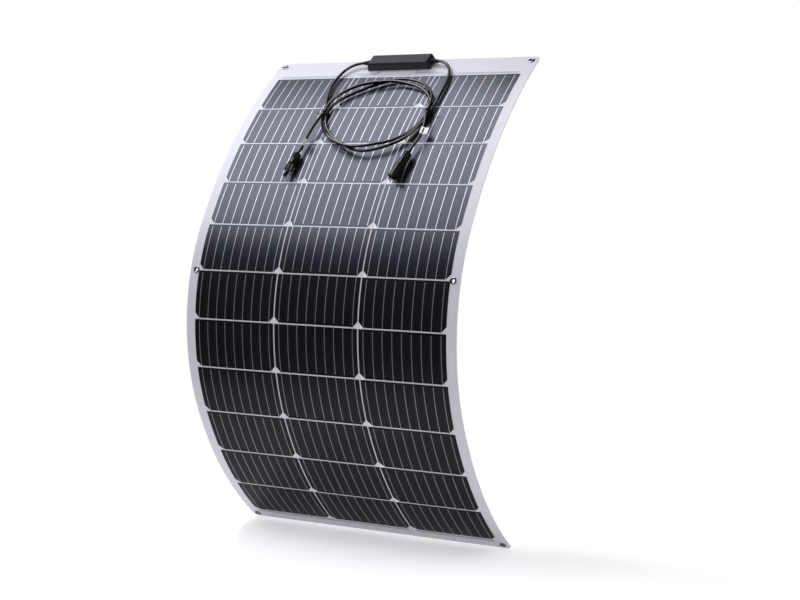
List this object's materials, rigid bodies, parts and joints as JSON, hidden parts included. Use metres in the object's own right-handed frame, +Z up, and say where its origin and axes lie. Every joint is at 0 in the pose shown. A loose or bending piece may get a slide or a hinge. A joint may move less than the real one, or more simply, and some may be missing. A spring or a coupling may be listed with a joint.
{
  "type": "flexible solar sheet",
  "caption": "Bent flexible solar sheet with half-cut cells, metal edge eyelets, a slim junction box at the top and two looped leads ending in a plug and a socket.",
  "frame": {"origin": "midway between the two middle eyelets, on the sheet's rear face", "axes": "+Z up, +X across the sheet to the socket's side, the cells face -Y; the sheet leans back 15.5 degrees at the origin and curves back above and below it"},
  "size_m": [0.54, 0.3068, 0.8575],
  "materials": {
    "front_film": "clear film with a soft sheen",
    "encapsulant": "clear encapsulant",
    "backsheet": "white, satin",
    "solar_cell": "near black, blue tint",
    "tinned_ribbon": "bright tin",
    "insulation": "ivory",
    "eyelet_metal": "bright nickel",
    "adhesive_pad": "matt black",
    "box_plastic": "black, fine grain",
    "potting": "dark grey",
    "brass": "plain brass",
    "diode_epoxy": "black",
    "copper": "bare copper",
    "rubber_boot": "black",
    "cable_jacket": "black, smooth",
    "tie_plastic": "black",
    "label_film": "white",
    "connector_plastic": "black, moulded",
    "seal_rubber": "dark grey",
    "contact_metal": "tinned"
  },
  "bodies": {
    "sheet": {"front_film": "front_film", "front_encapsulant": "encapsulant", "rear_encapsulant": "encapsulant", "backsheet": "backsheet", "cells_left": "solar_cell", "cells_middle": "solar_cell", "cells_right": "solar_cell", "ribbons_left": "tinned_ribbon", "ribbons_middle": "tinned_ribbon", "ribbons_right": "tinned_ribbon", "bus_top_left": "tinned_ribbon", "bus_top_right": "tinned_ribbon", "bus_bottom_left": "tinned_ribbon", "bus_bottom_right": "tinned_ribbon", "return_ribbon": "tinned_ribbon", "insulation_strip": "insulation", "eyelets": "eyelet_metal", "eyelet_washers": "eyelet_metal", "box_pad": "adhesive_pad", "box_base": "box_plastic", "box_lid": "box_plastic", "box_potting": "potting", "box_terminals": "brass", "bypass_diodes": "diode_epoxy", "cable_cores": "copper", "boot_left": "rubber_boot", "boot_right": "rubber_boot", "cable_left": "cable_jacket", "cable_right": "cable_jacket", "tie_left": "tie_plastic", "tie_right": "tie_plastic", "label_left": "label_film", "label_right": "label_film", "plug_seal": "seal_rubber", "plug_body": "connector_plastic", "plug_o_ring": "seal_rubber", "plug_contact": "contact_metal", "socket_seal": "seal_rubber", "socket_body": "connector_plastic", "socket_contact": "contact_metal"},
    "plug_nut": {"plug_nut": "connector_plastic"},
    "socket_nut": {"socket_nut": "connector_plastic"},
    "latch_left": {"plug_latch_left": "connector_plastic"},
    "latch_right": {"plug_latch_right": "connector_plastic"}
  },
  "joints": [
    {"name": "plug_nut_turn", "type": "hinge", "parent": "sheet", "child": "plug_nut", "pos_m": [-0.11158, 0.09586, 0.19813], "axis": [-0.1692, -0.6072, -0.7763], "continuous": true},
    {"name": "socket_nut_turn", "type": "hinge", "parent": "sheet", "child": "socket_nut", "pos_m": [0.11355, 0.09487, 0.20013], "axis": [-0.2184, -0.6017, -0.7683], "continuous": true},
    {"name": "latch_left_press", "type": "hinge", "parent": "sheet", "child": "latch_left", "pos_m": [-0.12066, 0.08618, 0.18578], "axis": [0.0023, -0.7879, 0.6158], "range_deg": [0, 3.5], "stiffness_Nm_per_rad": 0.5},
    {"name": "latch_right_press", "type": "hinge", "parent": "sheet", "child": "latch_right", "pos_m": [-0.10824, 0.08489, 0.18409], "axis": [-0.0023, 0.7879, -0.6158], "range_deg": [0, 3.5], "stiffness_Nm_per_rad": 0.5}
  ]
}
